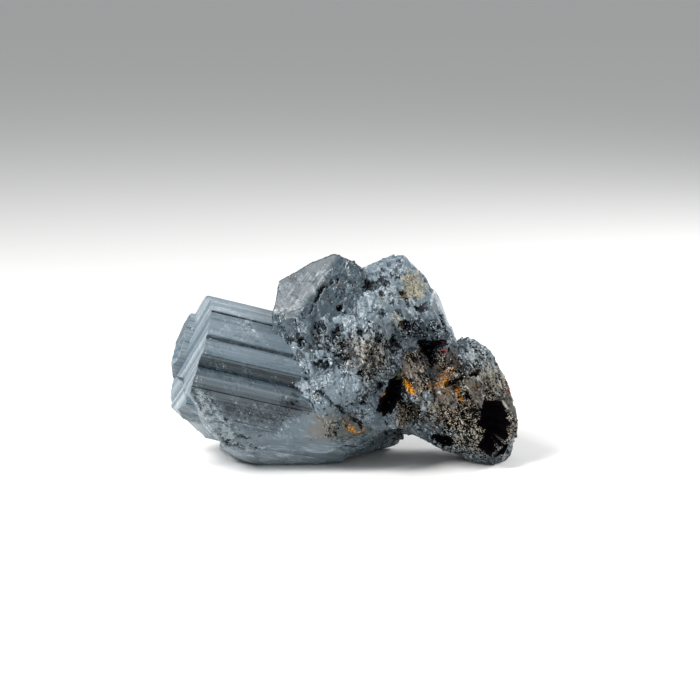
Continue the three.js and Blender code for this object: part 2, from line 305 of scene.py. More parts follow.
RED = [
    (23.6, -1.6, 26, 1.8, 0.62), (32.9, -3.8, 15.3, 1.8, 1), (17.6, -4.6, 23.6, 19, -5.2, 24, 2.8, 1.2),
    (31, -4, 19, 2.4, 0.4),
]
GOLD = [
    (13.5, -5, 36.8, 5, 1.1), (7, -9.7, 34.1, 4.6, 0.6), (9.4, -9, 31.4, 3, 0.7),
    (10.7, -9.9, 30.7, 1.8, 0.8),
]
EARTH = [
    (5.4, -12.8, 24.2, 6.6, 0.66), (2, -12.8, 25.6, 4.6, 0.6), (22, -10, 14.5, 9, 1),
    (20.1, -7.4, 22, 4.8, 0.85), (2, -13, 9, 5.5, 0.6), (12, -9, 12, 6, 0.9), (-4, -13, 10, 5, 0.7),
    (14, -10.4, 22, 5, 0.95), (14.6, -12, 18.4, 4.4, 0.95), (28, -6, 12, 15, 0.75),
]
OLIVE = [(10.9, -10.8, 19.4, 2, 1), (19.6, -10, 18.2, 1.6, 0.8), (0, -13.4, 10.2, 5, 0.6)]
# Painted shade: spots in and round the cavities, the recess, the cracks and shaded hollows are made darker.
PAINTED_SHADE_SPOTS = [
    (30.2, -8, 10.8, 4.6, 1), (17.2, -5, 25.4, 4.5, 1), (13.5, -9, 29, 18.4, -5, 27.2, 4, 0.82),
    (9, -10.5, 15.6, 3, 1), (11, -11.5, 18.4, 3.4, 0.8), (20, -5.5, 5, 3.4, 0.7), (31, -9, 4.6, 3.4, 0.8),
    (10.4, -9.6, 27, 2.8, 0.8), (14, -9, 12, 5, 0.8), (19.4, -8, 20.6, 4, 0.5),
    (22, -9, 7, 30, -8, 6, 8, 0.4), (1, -13.5, 9.5, 6, 0.5), (4.5, -13, 22.6, 6.5, 0.3),
    (0.6, -14.2, 17.4, 8.5, 0.17), (20.6, -7.6, 21.6, 5.4, 0.74),
    (15.4, -6.9, 24.6, 16.3, -7.8, 21.3, 0.8, 0.9), (16.3, -7.8, 21.3, 17.1, -10.4, 18.6, 0.8, 0.9),
    (20.6, -11.2, 18.3, 23.2, -9.8, 19.2, 1, 0.9), (23.2, -9.8, 19.2, 27, -7.2, 20, 0.9, 0.9),
    (4, -8, 4, 11, 3, 3, 5, 0.5), (-5.3, -14.2, 17.5, 0.3, -14, 13, 1.5, 0.6),
    (0.3, -14, 13, 6.1, -12, 8.4, 1.8, 0.6), (-10, -12.6, 16, 3, 0.5),
]
ETCHED = [
    (-28.5, -17.6, 16.4, -25.6, -15.6, 11.6, 3.4, 1), (-25.6, -14.6, 11.6, -22, -12.6, 7.6, 4, 1),
    (-29, -13, 11, -25, -10.5, 7, 3.4, 1), (-22, -12.6, 7.6, -18.2, -11.4, 5.6, 3.2, 1),
    (-28.6, -8.6, 9.4, -26.6, -9, 6.6, 3.6, 0.9), (-19.1, -10.4, 30, 2.6, 0.7), (-1.4, -13, 24.8, 5.5, 1),
    (6, -12.4, 24.6, 6, 0.9), (-6, -12, 25, 4.5, 0.8), (24, -9, 10, 12, 0.7), (8, -9, 33, 5, 0.4),
]
# Painted highlights: the floor's reflection on the bottom faces, and faces turned to the lamps.
PAINTED_HIGHLIGHTS = [
    (-20.9, -7.7, 2.9, 6, 0.9), (-12.9, -6.9, 2, 7, 1), (-4.9, -7.6, 2.9, 7, 0.9), (1.1, -8.3, 4.1, 4, 0.6),
    (18.8, -2.2, 34.6, 21.6, -5, 26.8, 2, 1.6), (22.4, 0, 29, 4, 0.9), (25.2, -5.2, 23.2, 3, 1.1),
    (28.8, -4.6, 20.4, 2.8, 1), (28, -8.4, 15.4, 2.6, 0.6), (7, -9, 39.5, 4, 0.4),
]
RAGGED = {"gold": GOLD, "earth": EARTH, "olive": OLIVE, "red": RED, "painted_shade": PAINTED_SHADE_SPOTS}  # those with frayed edges
print("rust", len(RUST), "spots,", {name: len(spots) for name, spots in RAGGED.items()})

# %% [markdown]
# ## From arrays to a mesh
# A surface that is a grid of numbers becomes a mesh by joining each point to its neighbours with four-sided
# faces. The grid's own two parameters make its UV map, so nothing has to be unwrapped.

# %% From arrays to a mesh
CREASE = math.radians(16)  # flatter edges than this are shaded smooth
MARKS = ("tone", "rust", "gold", "earth", "olive", "red", "painted_shade", "etched", "pit_shade")


def lay_out(name, points, quads, uvs, marks, smooth=True):
    """A mesh object from points in mm, faces, a UV for each face corner, and named numbers at each point."""
    points = points + OVER_ORIGIN
    points[:, 2] = np.maximum(points[:, 2], 0.0)
    mesh = bpy.data.meshes.new(name)
    mesh.vertices.add(len(points))
    mesh.vertices.foreach_set("co", (points * MM).astype(np.float32).ravel())
    mesh.loops.add(quads.size)
    mesh.loops.foreach_set("vertex_index", quads.ravel().astype(np.int32))
    mesh.polygons.add(len(quads))
    mesh.polygons.foreach_set("loop_start", np.arange(0, quads.size, 4, dtype=np.int32))
    mesh.polygons.foreach_set("loop_total", np.full(len(quads), 4, dtype=np.int32))
    layer = mesh.uv_layers.new(name="OFBake")
    layer.data.foreach_set("uv", uvs.astype(np.float32).ravel())
    for mark in MARKS:
        attribute = mesh.attributes.new(mark, "FLOAT", "POINT")
        attribute.data.foreach_set("value", marks[mark].astype(np.float32))
    mesh.update(calc_edges=True)
    mesh.validate()
    if smooth:
        mesh.polygons.foreach_set("use_smooth", np.ones(len(mesh.polygons), bool))
        mesh.set_sharp_from_angle(angle=CREASE)
    piece = bpy.data.objects.new(name, mesh)
    bpy.context.scene.collection.objects.link(piece)
    return piece


def finish_piece(piece):
    """Every piece stands for the one CAD node, rides on the specimen and takes its finish."""
    piece.data.materials.append(schorl)
    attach(piece, "root")
    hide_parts("tourmaline_cluster")
    faces = 2 * len(piece.data.polygons)
    print(f"{piece.name}: {faces} triangles, {[round(v * 1000, 1) for v in piece.dimensions]} mm")


# %% [markdown]
# ## The finish
# Schorl is an iron-rich borosilicate, glassy where a face grew and dull where it was etched. It is black in
# the lump, but every face throws back a little of the sky, so the eye sees blue-grey with near-black gaps.
# One material serves the whole specimen. Numbers stored on the mesh say where it is rusty or bloomed and
# where shade and highlights are painted on, and patterns in Object coordinates add the crumbs that are finer
# than the mesh.

# %% Helpers for the finish
def linear(code):
    """'#rrggbb' as linear light, the way shaders want it."""
    parts = [int(code[i : i + 2], 16) / 255 for i in (1, 3, 5)]
    return [c / 12.92 if c <= 0.04045 else ((c + 0.055) / 1.055) ** 2.4 for c in parts] + [1.0]


def add(kind, *inputs, **named):
    """Adds a node; "Math ADD" is a Math node whose operation is ADD. What comes in order fills the inputs in
    use, in order. A name with a capital is the input of that name, any other name is a setting. A node given
    as an input stands for its first output in use."""
    kind, *operation = kind.split()
    node = tree.nodes.new("ShaderNode" + kind)
    if operation:
        node.operation = operation[0]
    for name in filter(str.islower, named):
        setattr(node, name, named[name])
    links = list(zip([socket for socket in node.inputs if socket.enabled], inputs))
    links += [(node.inputs[name.replace("_", " ")], named[name]) for name in named if not name.islower()]
    for socket, value in links:
        if isinstance(value, bpy.types.Node):
            value = next(output for output in value.outputs if output.enabled)
        if isinstance(value, bpy.types.NodeSocket):
            tree.links.new(value, socket)
        else:
            socket.default_value = value
    return node


# %% Schorl
# Its refractive index is 1.63 to 1.65. Growth faces are half glossy (roughness about 0.4), etched ones dull.
schorl = bpy.data.materials.new("schorl_grown_and_etched")
schorl.use_nodes = True
tree = schorl.node_tree
tree.nodes.clear()
coords = add("TexCoord").outputs["Object"]
mark = {name: add("Attribute", attribute_name=name).outputs["Fac"] for name in MARKS}

# %% [markdown]
# ## Patterns in the stone
# The mesh holds forms down to about half a millimetre, and finer ones would cost millions of faces, so
# patterns give them. Five sizes of cells, most of them longer along the upright crystals, stand for ledges,
# facets, crumbs, specks and hair-fine splinters. A real speck is finer than 0.2 mm and is drawn that coarse
# so that it shows. Each cell's random colour is three chance numbers of its own. Three noises cloud and
# streak the cells.

# %% Patterns in the stone
PATTERNS = {  # size in mm, how much longer it is along the crystals, and how far it leans with them
    "ledge": (2.8, 1.7, -24), "facet": (1.15, 1.8, -24), "crumb": (0.45, 1.6, -24), "speck": (0.2, 1.0, -24),
    "hair": (0.2, 8.0, -24), "cloud": (3.0, 1.0, 0), "patch": (0.9, 1.0, 0), "streak": (0.45, 3.2, -24),
}
NOISES = {"cloud": (4.0, 0.65), "patch": (3.0, 0.7), "streak": (3.0, 0.75)}  # their detail and roughness
cell, noise = {}, {}
for name, (size, longer, lean) in PATTERNS.items():
    placed = add("Mapping", coords, Rotation=(0.0, math.radians(lean), 0.0), vector_type="TEXTURE",
                 Scale=[size * MM * k for k in (1, 1, longer)])
    if name in NOISES:
        noise[name] = add("TexNoise", placed, Scale=1.0, Detail=NOISES[name][0], Roughness=NOISES[name][1])
    else:
        cell[name] = add("TexVoronoi", placed, Scale=1.0).outputs["Color"]
parts = {name: add("SeparateColor", colour).outputs for name, colour in cell.items()}
value, luck, other = ({name: outputs[k] for name, outputs in parts.items()} for k in range(3))
print("patterns:", ", ".join(PATTERNS))

# %% [markdown]
# ## Tone
# How light the stone looks is one number. It starts from the mesh's own, which holds painted light and
# shade, and is broken up by every size of cell: strongly where the stone is crumbled, hardly where a face
# grew whole. Some crumbs are missing and their gaps are painted black as shade, others are painted lighter
# as glints.

# %% Tone
crumbled = add("MapRange", luck["ledge"], 0.36, 0.56, 0.18, 1.28)  # a third of the ledges stays calm
roughened = add("Math MULTIPLY_ADD", mark["etched"], 0.85, 0.15)
roughened = add("Math MULTIPLY", roughened, crumbled)
spread = -0.57  # half the sum of the shares below, so that the cells' chance values even out
for name, share in (("ledge", 0.20), ("facet", 0.26), ("crumb", 0.26), ("speck", 0.42)):
    spread = add("Math MULTIPLY_ADD", value[name], share, spread)
bright_hair = add("Math GREATER_THAN", value["hair"], 0.92)
spread = add("Math MULTIPLY_ADD", bright_hair, 0.22, spread)

# Painted shade: where it is etched, bloomed or shaded, missing crumbs leave gaps painted black.
painted_gap_shade = -0.04
for name, share in (("etched", 0.14), ("earth", 0.30), ("painted_shade", 0.20)):
    painted_gap_shade = add("Math MULTIPLY_ADD", mark[name], share, painted_gap_shade)
painted_gap_shade = add("Math GREATER_THAN", add("Math MULTIPLY", painted_gap_shade, crumbled), luck["crumb"])
# Painted highlights: one crumb in twenty is painted lighter, as a glint.
painted_glint = add("Math MULTIPLY", add("Math GREATER_THAN", luck["crumb"], 0.95), roughened)

# Painted glints: in dark and brown places a few specks are painted much lighter than the rest;
# the fifth power keeps most low.
gritty = add("Math MULTIPLY_ADD", mark["earth"], 0.5, add("Math MULTIPLY", mark["painted_shade"], 0.8), use_clamp=True)
painted_sparkle = add("Math MULTIPLY_ADD", add("Math POWER", value["speck"], 5.0), 1.1, -0.18)
painted_sparkle = add("Math MULTIPLY", painted_sparkle, add("Math MULTIPLY", gritty, roughened))
# Painted shade in pits, bites and cracks: the tone drops where the pit shade mark is high.
painted_pit_shade = add("MapRange", add("Math MULTIPLY_ADD", value["crumb"], 0.5, mark["pit_shade"]), 0.72, 0.78)

# The tone takes the random cells, the painted shade, the painted gaps, glints and sparkle, and the pit shade.
tone = add("Math MULTIPLY_ADD", spread, roughened, mark["tone"])
clouded = add("Math SUBTRACT", noise["cloud"], 0.5)
for part, share in ((clouded, 0.05), (painted_gap_shade, -0.26), (painted_glint, 0.26), (mark["painted_shade"], -0.34), (painted_sparkle, 1.0),
                    (painted_pit_shade, -0.22)):
    tone = add("Math MULTIPLY_ADD", part, share, tone)
print("tone:", len(tree.nodes), "nodes so far")

# %% [markdown]
# ## Colours
# The tone becomes a colour by one of two ramps: bare schorl is blue-grey, and where a brown bloom covers it
# the same lights and darks are brown. Each other stain is laid over these where its mark is strong, gathered
# in grains by a pattern, so that no stain has a soft edge. The near-black over the deep holes is painted
# shade.

# %% Colours
RAMPS = {
    "bare": ((0.02, "#030306"), (0.15, "#0a0e14"), (0.3, "#1c2a32"), (0.5, "#46565f"), (0.75, "#6f7d87"),
             (1.0, "#aab2b6")),
    "bloomed": ((0.04, "#060404"), (0.2, "#19130e"), (0.4, "#3f362b"), (0.65, "#6b6151"), (1.0, "#aaa18f")),
}
shaded = {}
for name, stops in RAMPS.items():
    shaded[name] = add("ValToRGB", tone)
    elements = shaded[name].color_ramp.elements
    while len(elements) < len(stops):
        elements.new(0.5)
    for element, (place, code) in zip(elements, stops):
        element.position, element.color = place, linear(code)


def stain(amount, low, high, pattern):
    """How far a stain covers: its strength times a pattern plus a half, cut steeply between two levels."""
    strength = add("Math MULTIPLY", amount, add("Math ADD", pattern, 0.5))
    return add("MapRange", strength, low, high, interpolation_type="SMOOTHSTEP")


grainy = add("Math MULTIPLY_ADD", value["speck"], 0.8, add("Math MULTIPLY", noise["patch"], 0.5))
veined = add("Math MULTIPLY_ADD", value["speck"], 0.5, noise["streak"])
covered = {
    "earth": add("Math MAXIMUM", stain(mark["earth"], 0.45, 1.05, grainy),
                 add("Math MULTIPLY", mark["earth"], 0.5)),
    "gold": stain(mark["gold"], 0.70, 1.1, value["speck"]),
    "olive": stain(mark["olive"], 0.6, 1.3, veined),
    "rust": stain(mark["rust"], 0.70, 1.55, veined),
    # Painted shade: near-black wherever the painted shade mark is strong, as in the deep holes.
    "black": add("Math MULTIPLY_ADD", mark["painted_shade"], 4.0, -3.0, use_clamp=True),
    "red": stain(mark["red"], 0.6, 1.3, veined),
}
golden = add("Mix", value["crumb"], linear("#625f54"), linear("#b3a98a"), data_type="RGBA")
rusty = add("Math MULTIPLY_ADD", value["crumb"], 0.7, -0.3)
rusty = add("Math MULTIPLY_ADD", value["speck"], 0.6, rusty, use_clamp=True)
rusty = add("Mix", rusty, linear("#2c1405"), linear("#e8981a"), data_type="RGBA")
# The near-black #0a080b is painted shade, not a stain.
stains = {"earth": shaded["bloomed"], "gold": golden, "olive": linear("#3b4220"), "rust": rusty,
          "black": linear("#0a080b"), "red": linear("#74101f")}
colour = shaded["bare"]
for name, over in stains.items():
    colour = add("Mix", covered[name], colour, over, data_type="RGBA")

# Painted glints and iron on the faces: three specks in a thousand are painted pale as glints, more where it
# is etched, and four in ten thousand are orange crumbs of iron.
grains = add("Math MULTIPLY_ADD", mark["etched"], 0.012, other["speck"])
grains = add("Math GREATER_THAN", add("Math SUBTRACT", grains, covered["black"]), 0.997)
painted_glint_colour = add("Mix", value["crumb"], linear("#6d706c"), linear("#c4c7c2"), data_type="RGBA")
colour = add("Mix", grains, colour, painted_glint_colour, data_type="RGBA")
orange = add("Math GREATER_THAN", other["speck"], 0.9996)
colour = add("Mix", orange, colour, linear("#b5764a"), data_type="RGBA")
print("stains:", ", ".join(stains))

# %% [markdown]
# ## Gloss and facets
# Broken schorl glitters because its facets lean every way. A bump map would round them, so each cell instead
# tilts the normal by its own chance colour, all over the cell alike. Dark tones and rust shine less, and the
# holes painted black as shade lose their shine.

# %% Gloss and facets
gloss = add("Math MULTIPLY_ADD", value["crumb"], 0.10, 0.34)
for name, share in (("etched", 0.12), ("painted_shade", 0.30), ("rust", 0.25)):
    gloss = add("Math MULTIPLY_ADD", mark[name], share, gloss, use_clamp=True)

lean = (0.0, 0.0, 0.0)
for name, tilt in (("ledge", 0.34), ("facet", 0.34), ("crumb", 0.26), ("speck", 0.12)):
    own = add("VectorMath SUBTRACT", cell[name], (0.5, 0.5, 0.5))
    lean = add("VectorMath MULTIPLY_ADD", own, (tilt, tilt, tilt), lean)
lean = add("VectorTransform", lean, vector_type="VECTOR", convert_from="OBJECT", convert_to="WORLD")
lean = add("VectorMath SCALE", lean, roughened)
lean = add("VectorMath ADD", lean, add("NewGeometry").outputs["Normal"])
facing = add("VectorMath NORMALIZE", lean)

shine = add("Math MINIMUM", add("Math MULTIPLY", tone, 1.1, use_clamp=True), 0.5)
# Where holes are painted black as shade, their shine is taken away too.
for name, loss in (("black", 1.0), ("rust", 0.8)):
    shine = add("Math MULTIPLY", shine, add("Math MULTIPLY_ADD", covered[name], -loss, 1.0))
shader = add("BsdfPrincipled", Base_Color=colour, Roughness=gloss, IOR=1.63, Normal=facing,
             Specular_IOR_Level=shine)
add("OutputMaterial", shader)
print("schorl:", len(tree.nodes), "nodes")

# %% [markdown]
# ## Lumps
# The broken mass is eight crystals grown into each other and snapped off. Each could be sculpted, but broken
# mineral is all flat faces, so each is described by them: a middle, and planes round it. A ray from the
# middle stops at the nearest plane, and rays in all directions, laid out on a cube blown up to a sphere, give
# the whole surface with no seam. Chips, holes and grain then move the points in or out.

# %% A sphere of rays
def sphere_of_rays(n):
    """Directions to a grid of equal angles on each side of a cube, four-sided faces, and UVs in six tiles."""
    t = np.tan(np.linspace(-1, 1, n + 1) * math.pi / 4)
    u, v = np.meshgrid(t, t, indexing="ij")
    ones = np.ones_like(u)
    sides = [(ones, u, v), (-ones, -u, v), (-u, ones, v), (u, -ones, v), (-v, u, ones), (v, u, -ones)]
    rays = unit(np.concatenate([np.stack(side, -1).reshape(-1, 3) for side in sides]))
    _, first, same = np.unique(np.round(rays * 1e6).astype(np.int64), axis=0, return_index=True,
                               return_inverse=True)
    i, j = np.meshgrid(np.arange(n), np.arange(n), indexing="ij")
    corner = (i * (n + 1) + j).ravel()
    loop = np.stack([corner, corner + n + 1, corner + n + 2, corner + 1], 1)
    quads = np.concatenate([loop + side * (n + 1) ** 2 for side in range(6)])
    square = np.stack([np.repeat(np.arange(n + 1), n + 1), np.tile(np.arange(n + 1), n + 1)], 1) / n
    tiles = np.concatenate([(square * 0.98 + 0.01 + (k % 3, k // 3)) / (3, 2) for k in range(6)])
    return rays[first], same.ravel()[quads], tiles[quads.ravel()]


print("four faces along a cube's edge take", len(sphere_of_rays(4)[0]), "rays")

# %% Ragged marks
def frayed(points, far):
    """The points moved by up to `far` mm, each cell of 1.3 mm its own way and each of 0.5 mm within it, so
    that whatever is looked up there has an angular, crumbling edge."""
    moved = points.copy()
    for size, salt, share in ((1.3, 700, 0.6), (0.5, 710, 0.4)):
        moved += far * share * chances(cells(points, size, salt)[3], salt)
    return moved


def marks_for(points, tone):
    """The numbers that the finish reads, one of each at every point."""
    ragged = frayed(points, 1.3)
    found = {name: near_spots(ragged, spots) for name, spots in RAGGED.items()}
    found["rust"] = near_spots(frayed(points, 0.6), RUST)
    return {**found, "tone": tone, "etched": near_spots(points, ETCHED), "pit_shade": np.zeros(len(points))}


# %% One lump
PROUD = 1.1  # how far chips may stand out, in roughnesses
SUNK = 1.7  # how deep their holes may go
SHARP = 80  # power of the soft minimum: the higher, the crisper the edges between faces
# The deep cavities are painted black inside as shade, and so is a margin round each.
CALM_RIM = 0.25  # how much the rim of a black cavity frays, against 1 for every other hole
SHADE_PAINT_MARGIN = 0.55  # mm round a black cavity that are black too
ROOF, RECESS_ROOF = 0.4, 3.0  # mm of stone over a hole, and over the recess, that it still breaks through


def lump(name, centre, faces, grains, salt, n, tone, axis=STEEP, contrast=0.6, relief=1.0, fibre=None):
    """Points at centre + ray * r, with r the soft minimum over the faces of distance / (normal . ray), then
    out to where the ray leaves a chip, or back to where it enters a hole, plus the grain along the face."""
    # The crystal before it was damaged.
    middle = np.array(centre, float)
    rays, quads, uvs = sphere_of_rays(n)
    normals = np.array([heading(*face[:2]) for face in faces])
    distances, roughs = np.array(faces)[:, 2:].T
    slope = np.maximum(rays @ normals.T, 1e-6)
    pull = (slope / distances) ** SHARP
    total = pull.sum(1)
    flat = total ** (-1 / SHARP)
    share = pull / total[:, None]
    normal = unit(share @ normals)
    rough = share @ roughs
    shell = ((distances + PROUD * roughs) / slope).min(1)
    core = ((distances - SUNK * roughs) / slope).min(1)

    # Chips out to the shell, their holes in to the core, then the cavities and pits, as deep as they go.
    r = flat.copy()
    start = middle + rays * flat[:, None]
    along = heading(*axis)
    wobble = 0.5 * grain(start, 1.6, salt + 6, along, 1.6)[1]
    wobble += 0.25 * grain(start, 0.5, salt + 8, along, 1.6)[1]
    chips, holes = chips_and_holes(middle, normals, distances, roughs, axis, grains, salt)
    for chip in chips:
        at, enter, leave = crossing(middle, rays, chip, wobble)
        r[at] = np.where((enter < r[at]) & (leave > r[at]), np.minimum(leave, shell[at]), r[at])
    for hole in holes:
        at, enter, leave = crossing(middle, rays, hole, wobble)
        r[at] = np.where((enter < r[at]) & (leave > r[at] - 0.1), np.maximum(enter, core[at]), r[at])
    depth = np.maximum(flat - r, 0)
    for k, hole in enumerate(all_holes):
        at, enter, leave = crossing(middle, rays, hole, wobble * (CALM_RIM if k < len(black_holes) else 1))
        cut = (enter < r[at]) & (leave > r[at] - (RECESS_ROOF if hole is recess else ROOF)) & (enter > 1.0)
        depth[at] = np.where(cut, np.maximum(depth[at], 1.5), depth[at])
        r[at] = np.where(cut, enter, r[at])
    points = middle + rays * r[:, None]
    # Points in and round the deep cavities are painted black, as shade.
    margin = (SHADE_PAINT_MARGIN + wobble)[:, None]
    black = np.any([(points @ hole[0].T < hole[1] + margin).all(1) for hole in black_holes], axis=0)

    # Grain of three sizes, bites out of etched and broken faces, and cracks.
    etched = near_spots(frayed(points, 1.3), ETCHED)
    ledge = grain(points, 3.4, salt, along, 1.7, 0.3, 0.11)[0]
    chip = grain(points, 1.5, salt + 3, along, 1.8, 0.10, 0.10)[0]
    crumb = grain(points, 0.62, salt + 5, along, 1.5, 0.05, 0.15)[0]
    height = relief * rough * (ledge + chip + 0.2 * crumb)
    bites = etched * pits(points, 0.9, salt + 7, 0.42, along, 1.3)
    bites = np.maximum(bites, rough * pits(points, 1.7, salt + 9, 0.08, along, 1.6))
    crack = near_spots(frayed(points, 0.35), CRACKS)
    height -= np.maximum(0.6 * bites, crack)
    points += normal * height[:, None]

    # What the finish reads.
    splinter = grain(points, 0.3, salt + 12, heading(*(fibre or axis)), 7.0)[1]
    marks = marks_for(points, tone + contrast * (0.16 * splinter + 0.3 * (splinter > 0.44)))
    # Painted highlights lighten the tone, streaked by the splinters.
    marks["tone"] += 0.30 * near_spots(frayed(points, 0.5), PAINTED_HIGHLIGHTS) * (0.85 + 0.7 * splinter)
    # Painted shade: hollows are darker by their depth, and holes, bites and cracks take the pit shade mark.
    marks["tone"] -= 0.10 * np.clip(depth, 0, 1.3)
    marks["pit_shade"] = np.clip(np.maximum(0.75 * depth, 1.6 * np.maximum(bites, crack)), 0, 1)
    marks["etched"] = relief * np.maximum(marks["etched"], np.clip(1.3 * rough, 0, 0.8))
    # The black painted in the cavities is shade, kept with the other painted shade.
    marks["painted_shade"] = np.maximum(marks["painted_shade"], black)
    return lay_out(name, points, quads, uvs, marks, smooth=False)


# %% [markdown]
# ## The broken mass
# The rows below are the crystals, each face as bearing, rise, distance from the middle in mm, and roughness:
# 0 for a grown face that stayed whole, 1 for a fracture. Each pair of grains says how many chips and holes
# lie on the crystal, and their usual radius in mm. Tone is how light it is, contrast how much its splinters
# differ. The faces could be found by eye in a viewport, but as rows they can be read and moved one by one.

# %% The broken mass
LUMPS = {
    "foot": dict(centre=(-8, -2, 9), axis=MAIN, grains=((26, 4), (90, 1.9)), n=104, tone=0.54,
        contrast=0.35, faces=(
        (0, -90, 9, 0.05), (2, -48, 8.5, 0.05), (-41, -56, 12.3, 0.3), (-64, -32, 17.5, 0.6),
        (-2, 3, 11.2, 0.2), (-90, 10, 16, 0.5), (24, -50, 9.2, 0.3), (47, -68, 10.1, 0.3), (60, -30, 14, 0.8),
        (90, 10, 18, 0.8), (180, -25, 13, 1), (0, 60, 10, 1), (180, 30, 13, 1), (-130, -20, 13, 1),
    )),
    "shoulder": dict(centre=(-6, 5, 30), grains=((22, 3.4), (80, 1.8)), n=116, tone=0.36, fibre=(127, 46),
        contrast=0.36, faces=(
        (-24, 40, 13, 0.03), (3, 28, 14.2, 0.3), (-20, 8, 15.4, 0.6), (-103, 0, 4.9, 0.8),
        (-148, 55, 5.4, 0.6), (-135, 49, 4.9, 0.6), (126, 39, 8, 0.3), (138, 51, 7.9, 0.3), (170, 20, 9, 0.8),
        (90, 5, 11, 0.8), (0, -70, 12, 0.8), (-150, 10, 8, 0.6),
    )),
    "summit": dict(centre=(9, 0, 33), grains=((24, 3.6), (80, 1.8)), n=100, tone=0.61, faces=(
        (-7, 41, 7.3, 0.5), (-5, 12, 10.5, 0.6), (30, 25, 7.6, 0.5), (-141, 52, 6.3, 0.3),
        (-154, 57, 6.5, 0.3), (170, 60, 7.4, 0.3), (137, 51, 8, 0.3), (108, 20, 7.5, 0.3),
        (125, 41, 6.7, 0.3), (-60, 10, 9, 0.9), (-100, 0, 9, 0.9), (0, -40, 10, 0.9), (180, 20, 10, 0.7),
        (0, -90, 12, 0.7),
    )),
    "upright": dict(centre=(11, 2, 21), grains=((24, 3.6), (80, 1.8)), n=76, tone=0.54, faces=(
        (106, 15, 9.8, 0.15), (108, 20, 10.4, 0.15), (59, 24, 13.5, 0.15), (125, 41, 11.9, 0.3),
        (0, 60, 15, 0.7), (180, 60, 15, 0.7), (0, 5, 9.5, 0.9), (170, 5, 11, 0.5), (-150, 10, 13, 0.6),
        (-90, 0, 14, 0.9), (0, -60, 13.2, 0.6), (180, -40, 14, 0.6),
    )),
    "front": dict(centre=(-1, -4, 21), grains=((28, 4), (110, 1.7)), n=124, tone=0.59, faces=(
        (-12, 18, 9.3, 0.6), (-80, 5, 12.8, 0.7), (-50, 12, 13.2, 0.8), (-45, -30, 12.6, 0.9),
        (-90, 45, 13, 0.6), (35, 5, 11.5, 0.8), (15, -30, 12.2, 0.8), (90, 0, 14, 1), (0, 70, 12, 1),
        (180, 0, 12, 1), (0, -80, 13, 1),
    )),
    "plate": dict(centre=(4, -5, 16.5), axis=MAIN, grains=((14, 3), (60, 1.5)), n=96, tone=0.41,
        contrast=0.40, faces=(
        (-5, 12, 9.3, 0.4), (35, 8, 9, 0.6), (-70, 20, 11, 0.6), (-100, -50, 2.75, 0.3), (20, -75, 8.6, 0.4),
        (90, 0, 7, 0.7), (180, 0, 10, 0.7), (0, 55, 8, 0.7),
    )),
    "slab": dict(centre=(13, -3, 17), grains=((12, 3), (50, 1.4)), n=96, tone=0.36, relief=1.3, faces=(
        (-28, 6, 8, 0.35), (88, 15, 4.4, 0.15), (105, 10, 6.5, 0.3), (20, 40, 9, 0.5), (0, -60, 6.5, 0.6),
        (-100, 0, 6, 0.6), (0, 80, 8, 0.6), (180, 0, 9, 0.6),
    )),
    "lobe": dict(centre=(24, -2, 12.3), grains=((32, 3.6), (120, 1.7)), n=126, tone=0.46, contrast=1.5,
        relief=2, faces=(
        (-30, 50, 10.9, 0.3), (-100, 55, 10.7, 0.5), (18, 36, 9.2, 0.6), (40, 14, 7.6, 0.7),
        (5, -4, 9.6, 0.9), (155, 56, 10.9, 0.3), (130, 45, 9.8, 0.3), (112, 27, 8.7, 0.3),
        (105, 16, 9.2, 0.3), (97, 2, 10.1, 0.4), (67, -23, 11.8, 0.5), (56, -32, 12.2, 0.5),
        (-20, -48, 9.3, 0.5), (-36, -43, 9.4, 0.5), (-65, -60, 10.1, 0.4), (-43, -71, 10.7, 0.3),
        (-70, -10, 11.5, 0.9), (0, -90, 12.3, 0.1), (180, 10, 12, 0.7), (180, -45, 12, 0.7),
    )),
}
for k, (name, spec) in enumerate(LUMPS.items()):
    finish_piece(lump(name, salt=40 * (k + 1), **spec))

# %% [markdown]
# ## Crystals
# A whole crystal is a cross-section carried along a straight path, with flat ribs and grooves all along it
# and its free end cut off by a few growth faces. The section could be a plain circle, but tourmaline's is a
# rounded triangle of flats, so it is given by its corners. Rows of points run from the buried end to the
# first growth face each row meets, and rings then close the end.

# %% Helpers for crystals
DENSER = 2.6  # how much closer the places of a section lie on its busy side
ASLANT = 0.45  # an end face that looks less along the axis than this counts as one beside it


def outline_of(corners, width, relief, salt, count, busy):
    """The section as a closed line: corners joined by flats, each flat cut into ribs at levels of their own,
    then resampled to `count` places, denser between the two angles of `busy`. Returns x, y, angle."""
    line = []
    places = [r * np.array([math.cos(math.radians(w)), math.sin(math.radians(w))]) for w, r in corners]
    for n, (a, b) in enumerate(zip(places, places[1:] + places[:1])):
        run = float(np.linalg.norm(b - a))
        outward = np.array([b[1] - a[1], a[0] - b[0]]) / run
        ribs = max(1, int(run / width + 0.5))
        for k in range(ribs):
            roll = [float(chance(100 * n + k, salt + i)[0]) for i in range(2)]
            level = 0 if run < width else relief * (roll[0] - 0.5)
            left = (k + 0.5 * roll[1] * (k > 0)) / ribs
            line += [a + (b - a) * t + outward * level for t in (left + 0.04 / ribs, (k + 0.96) / ribs)]
    line = np.array(line + line[:1])
    step = np.linalg.norm(np.diff(line, axis=0), axis=1)
    way = np.degrees(np.arctan2(line[:, 1], line[:, 0])) % 360
    weight = np.where((way[1:] > busy[0]) & (way[1:] < busy[1]), DENSER, 1.0)
    run = np.append(0, np.cumsum(step * weight))
    even = np.arange(count) / count * run[-1]
    xy = np.stack([np.interp(even, run, line[:, k]) for k in range(2)], 1)
    return xy, np.degrees(np.arctan2(xy[:, 1], xy[:, 0])) % 360


